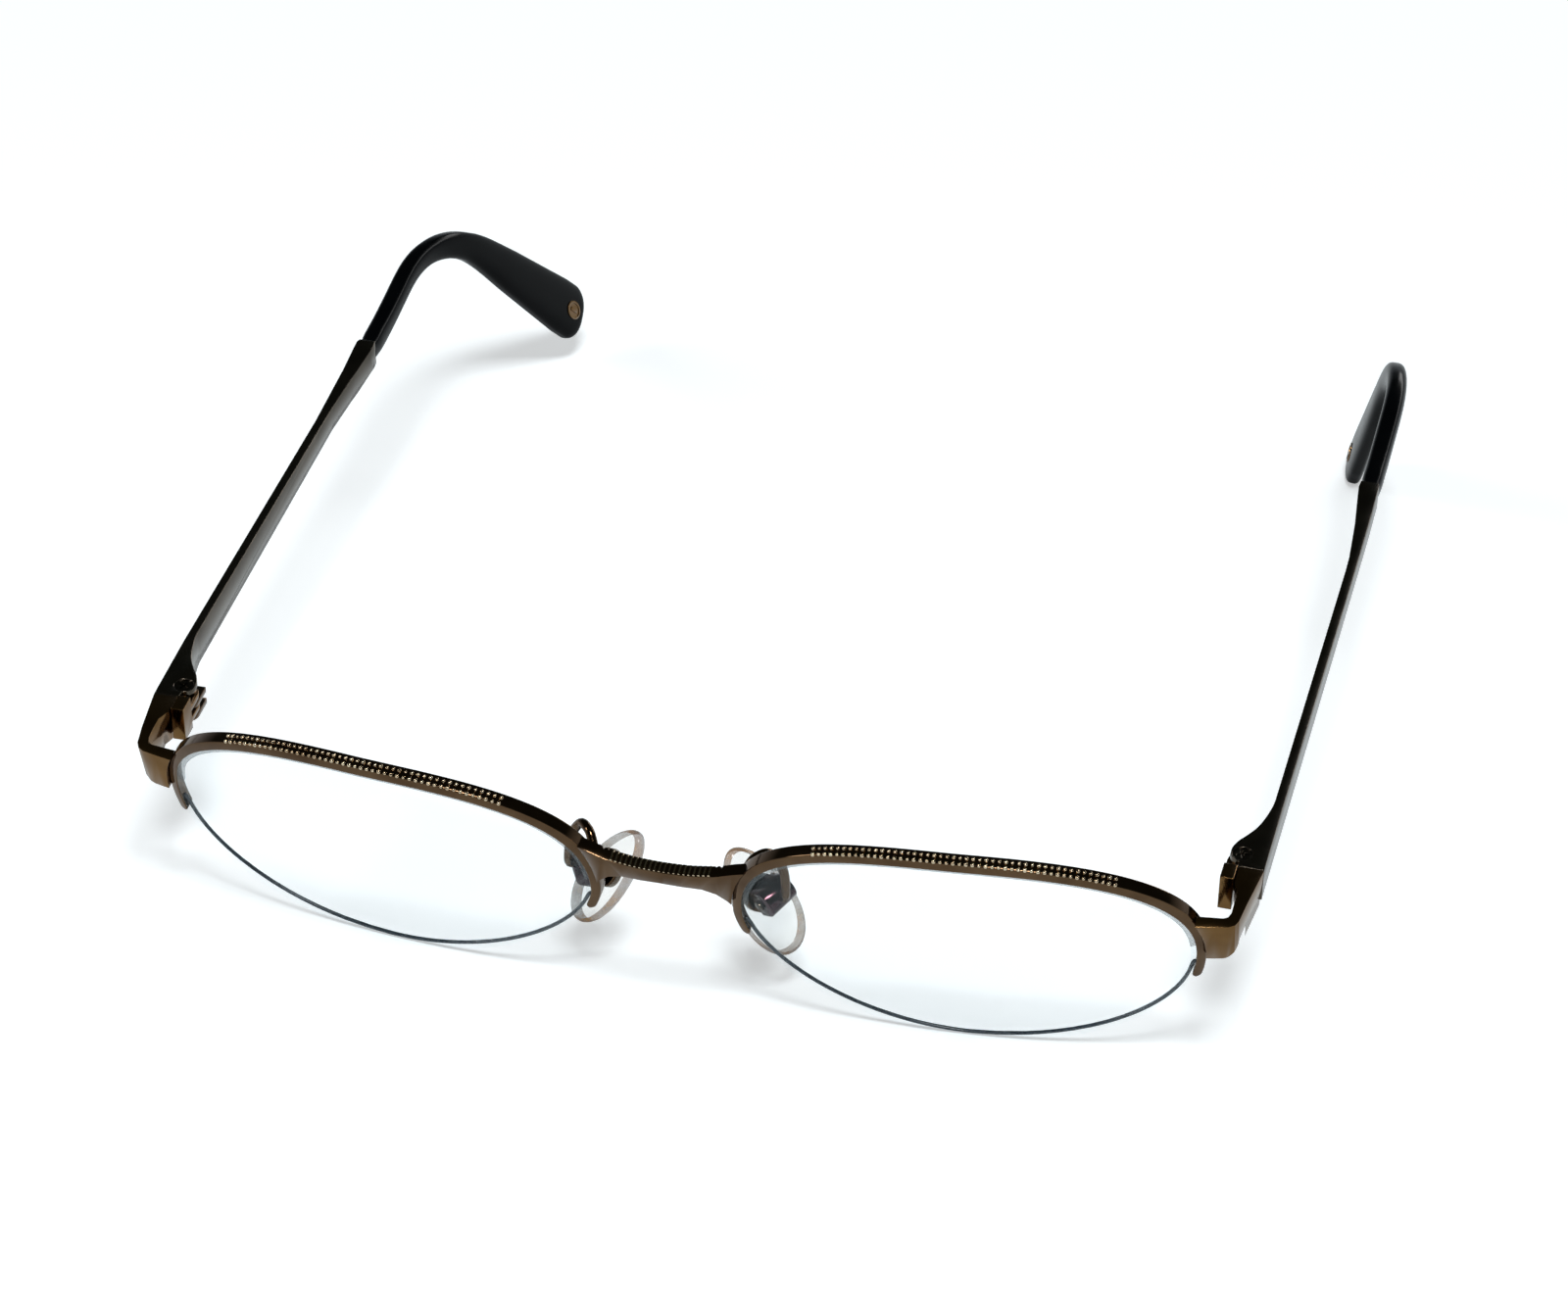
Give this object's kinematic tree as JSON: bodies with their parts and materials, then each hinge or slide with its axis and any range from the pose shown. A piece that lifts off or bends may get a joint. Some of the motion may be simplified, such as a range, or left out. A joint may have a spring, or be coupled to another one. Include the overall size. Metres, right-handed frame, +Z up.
{
  "type": "half rim eyeglasses",
  "caption": "Semi-rimless metal eyeglasses: browline bars over clear lenses held by nylon cords, knurled bridge, rocking nose pads, folding temples and curved ear tips.",
  "frame": {"origin": "centre of the bounding box at the table: the part stands on its lens edges and ear tip", "axes": "+X the wearer's left, +Y from the front to the ears, +Z up"},
  "size_m": [0.1322, 0.153, 0.0316],
  "materials": {
    "frame_metal": "polished coffee brown plating",
    "liner": "translucent nylon strip",
    "lens": "clear, uncoloured",
    "cord": "clear nylon that reads slate grey at the lens edge",
    "box_metal": "dark plum brown, glossy",
    "pad_clear": "clear silicone, yellowed at the rim",
    "screw_metal": "dark steel",
    "tip_plastic": "black acetate, glossy",
    "emblem_metal": "bronze"
  },
  "bodies": {
    "front": {"bridge": "frame_metal", "rim_right": "frame_metal", "rim_left": "frame_metal", "rim_liner_right": "liner", "rim_liner_left": "liner", "lens_right": "lens", "lens_left": "lens", "nylon_cord_right": "cord", "nylon_cord_left": "cord", "end_piece_right": "frame_metal", "end_piece_left": "frame_metal", "hinge_front_right": "frame_metal", "hinge_front_left": "frame_metal", "pad_arm_right": "frame_metal", "pad_arm_left": "frame_metal", "pad_box_right": "box_metal", "pad_box_left": "box_metal", "pad_screw_right": "box_metal", "pad_screw_left": "box_metal"},
    "temple_right": {"temple_bar_right": "frame_metal", "hinge_temple_right": "frame_metal", "hinge_screw_right": "screw_metal", "temple_tip_right": "tip_plastic", "tip_emblem_right": "emblem_metal"},
    "temple_left": {"temple_bar_left": "frame_metal", "hinge_temple_left": "frame_metal", "hinge_screw_left": "screw_metal", "temple_tip_left": "tip_plastic", "tip_emblem_left": "emblem_metal"},
    "pad_right": {"nose_pad_right": "pad_clear", "pad_insert_right": "box_metal"},
    "pad_left": {"nose_pad_left": "pad_clear", "pad_insert_left": "box_metal"}
  },
  "joints": [
    {"name": "temple_left_fold", "type": "hinge", "parent": "front", "child": "temple_left", "pos_m": [0.06097, -0.05641, 0.02434], "axis": [0, -0.0622, 0.9981], "range_deg": [0, 91]},
    {"name": "temple_right_fold", "type": "hinge", "parent": "front", "child": "temple_right", "pos_m": [-0.06097, -0.05641, 0.02434], "axis": [0, 0.0622, -0.9981], "range_deg": [0, 82]},
    {"name": "pad_left_rock", "type": "hinge", "parent": "front", "child": "pad_left", "pos_m": [0.01053, -0.06432, 0.01447], "axis": [0.502, 0.8008, 0.3268], "range_deg": [-8, 8]},
    {"name": "pad_right_rock", "type": "hinge", "parent": "front", "child": "pad_right", "pos_m": [-0.01053, -0.06432, 0.01447], "axis": [0.502, -0.8008, -0.3268], "range_deg": [-8, 8]}
  ]
}
